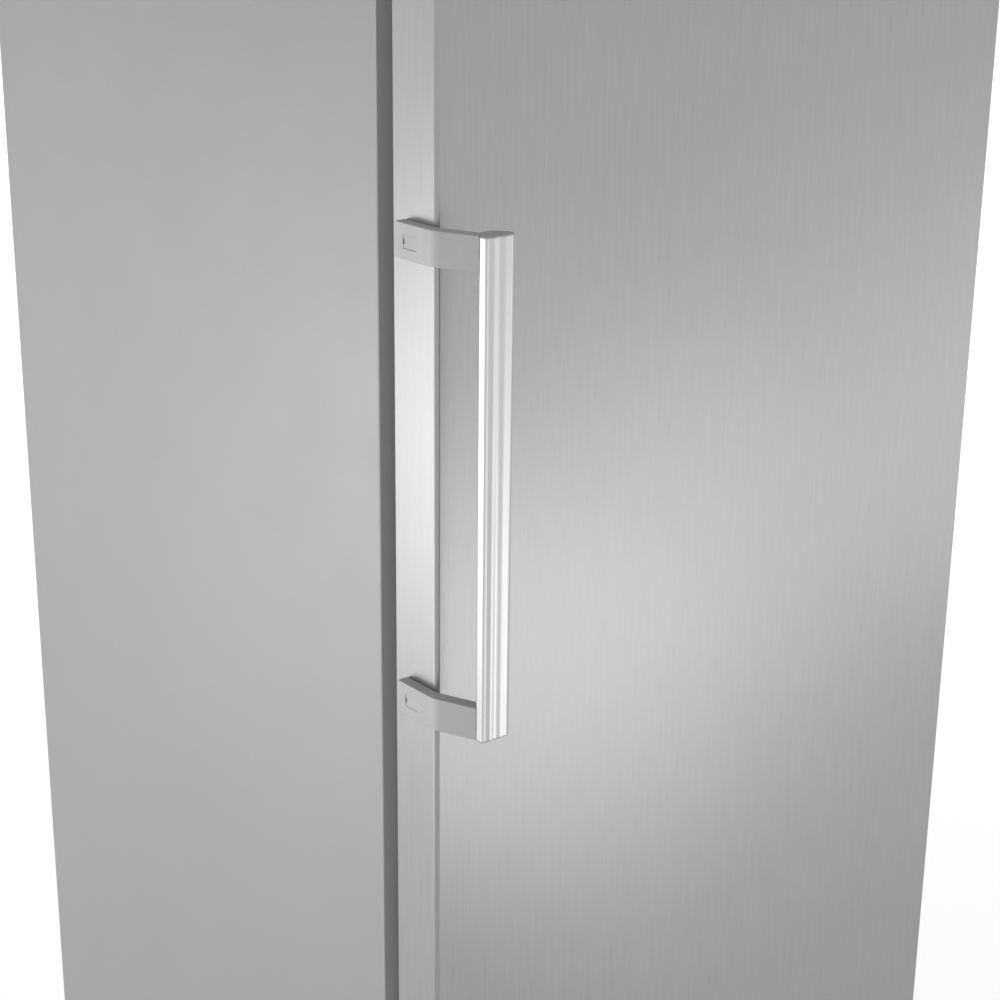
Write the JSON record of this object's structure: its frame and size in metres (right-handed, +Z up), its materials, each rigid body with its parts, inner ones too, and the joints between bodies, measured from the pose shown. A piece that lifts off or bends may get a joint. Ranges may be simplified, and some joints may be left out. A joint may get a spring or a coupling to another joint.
{
  "type": "upright freezer",
  "caption": "Free-standing upright freezer with a right-hinged brushed door, a vertical bar handle, drawers, a flap and glass shelves.",
  "frame": {"origin": "middle of the overall outline on the floor", "axes": "front looks along -Y, +X is on the right seen from the front, +Z up"},
  "size_m": [0.6098, 0.7038, 1.8603],
  "materials": {
    "side_paint": "satin",
    "brushed_steel": "satin",
    "arm_paint": "satin",
    "grip_metal": "satin",
    "zinc_steel": "satin",
    "black_paint": "satin",
    "copper": "satin",
    "bare_aluminium": "satin",
    "liner_plastic": "satin",
    "grey_plastic": "satin",
    "dark_plastic": "satin",
    "gasket_rubber": "matte",
    "foam": "matte",
    "clear_plastic": "gloss",
    "glass": "gloss",
    "light_plastic": "satin"
  },
  "bodies": {
    "cabinet": {"side_panel_left": "side_paint", "side_panel_right": "side_paint", "top_panel": "side_paint", "back_panel": "zinc_steel", "front_rail_bottom": "side_paint", "base_frame": "zinc_steel", "machine_bay": "zinc_steel", "plinth_grille": "grey_plastic", "inner_liner": "liner_plastic", "foam_left": "foam", "foam_right": "foam", "foam_top": "foam", "foam_back": "foam", "foam_bottom": "foam", "foam_riser": "foam", "foam_step": "foam", "air_duct_cover": "liner_plastic", "fan_motor": "dark_plastic", "evaporator": "bare_aluminium", "defrost_heater": "bare_aluminium", "compressor": "black_paint", "drip_tray": "dark_plastic", "condenser": "copper", "mains_inlet": "dark_plastic", "glass_shelf_1": "glass", "glass_shelf_2": "glass", "glass_shelf_3": "glass", "glass_shelf_4": "glass", "glass_shelf_5": "glass", "control_housing": "liner_plastic", "display_window": "dark_plastic", "light_cover": "light_plastic", "top_hinge_bracket": "zinc_steel", "top_hinge_cover": "grey_plastic", "bottom_hinge_bracket": "zinc_steel"},
    "door": {"door_panel": "brushed_steel", "door_foam": "foam", "door_liner": "liner_plastic", "door_gasket": "gasket_rubber", "door_top_cap": "grey_plastic", "door_bottom_cap": "grey_plastic", "handle_arm_upper": "arm_paint", "handle_arm_lower": "arm_paint", "handle_grip": "grip_metal", "arm_cap_upper": "arm_paint", "arm_cap_lower": "arm_paint"},
    "fan_rotor": {"fan_rotor": "grey_plastic"},
    "drawer_1": {"drawer_1": "clear_plastic"},
    "drawer_2": {"drawer_2": "clear_plastic"},
    "drawer_3": {"drawer_3": "clear_plastic"},
    "drawer_4": {"drawer_4": "clear_plastic"},
    "drawer_5": {"drawer_5": "clear_plastic"},
    "flap": {"flap": "clear_plastic"},
    "button_1": {"button_1": "grey_plastic"},
    "button_2": {"button_2": "grey_plastic"},
    "button_3": {"button_3": "grey_plastic"},
    "front_foot_left": {"front_foot_left": "dark_plastic"},
    "rear_roller_left": {"rear_roller_left": "dark_plastic"},
    "front_foot_right": {"front_foot_right": "dark_plastic"},
    "rear_roller_right": {"rear_roller_right": "dark_plastic"}
  },
  "joints": [
    {"name": "door_hinge", "type": "hinge", "parent": "cabinet", "child": "door", "pos_m": [0.29085, -0.27309, 0.95], "axis": [0, 0, 1], "range_deg": [0, 115]},
    {"name": "drawer_1_slide", "type": "slide", "parent": "cabinet", "child": "drawer_1", "axis": [0, -1, 0], "range_m": [0, 0.182]},
    {"name": "drawer_2_slide", "type": "slide", "parent": "cabinet", "child": "drawer_2", "axis": [0, -1, 0], "range_m": [0, 0.182]},
    {"name": "drawer_3_slide", "type": "slide", "parent": "cabinet", "child": "drawer_3", "axis": [0, -1, 0], "range_m": [0, 0.182]},
    {"name": "drawer_4_slide", "type": "slide", "parent": "cabinet", "child": "drawer_4", "axis": [0, -1, 0], "range_m": [0, 0.182]},
    {"name": "drawer_5_slide", "type": "slide", "parent": "cabinet", "child": "drawer_5", "axis": [0, -1, 0], "range_m": [0, 0.182]},
    {"name": "flap_hinge", "type": "hinge", "parent": "cabinet", "child": "flap", "pos_m": [0.00485, -0.20909, 1.6977], "axis": [-1, 0, 0], "range_deg": [0, 64]},
    {"name": "fan_spin", "type": "hinge", "parent": "cabinet", "child": "fan_rotor", "pos_m": [0.00485, 0.22891, 1.62], "axis": [0, 1, 0], "continuous": true},
    {"name": "button_1_press", "type": "slide", "parent": "cabinet", "child": "button_1", "axis": [0, 1, 0], "range_m": [0, 0.001], "stiffness_N_per_m": 400},
    {"name": "button_2_press", "type": "slide", "parent": "cabinet", "child": "button_2", "axis": [0, 1, 0], "range_m": [0, 0.001], "stiffness_N_per_m": 400},
    {"name": "button_3_press", "type": "slide", "parent": "cabinet", "child": "button_3", "axis": [0, 1, 0], "range_m": [0, 0.001], "stiffness_N_per_m": 400},
    {"name": "front_foot_left_turn", "type": "hinge", "parent": "cabinet", "child": "front_foot_left", "pos_m": [-0.25015, -0.18839, 0.01], "axis": [0, 0, 1], "continuous": true},
    {"name": "front_foot_right_turn", "type": "hinge", "parent": "cabinet", "child": "front_foot_right", "pos_m": [0.25985, -0.18839, 0.01], "axis": [0, 0, 1], "continuous": true},
    {"name": "rear_roller_left_roll", "type": "hinge", "parent": "cabinet", "child": "rear_roller_left", "pos_m": [-0.25015, 0.30191, 0.017], "axis": [1, 0, 0], "continuous": true},
    {"name": "rear_roller_right_roll", "type": "hinge", "parent": "cabinet", "child": "rear_roller_right", "pos_m": [0.25985, 0.30191, 0.017], "axis": [1, 0, 0], "continuous": true}
  ],
  "couplings": [
    {"joint": "drawer_1_slide", "follows": "door_hinge", "m_per_rad": 0.09},
    {"joint": "drawer_2_slide", "follows": "door_hinge", "m_per_rad": 0.09},
    {"joint": "drawer_3_slide", "follows": "door_hinge", "m_per_rad": 0.09},
    {"joint": "drawer_4_slide", "follows": "door_hinge", "m_per_rad": 0.09},
    {"joint": "drawer_5_slide", "follows": "door_hinge", "m_per_rad": 0.09},
    {"joint": "flap_hinge", "follows": "door_hinge", "ratio": 0.55}
  ]
}
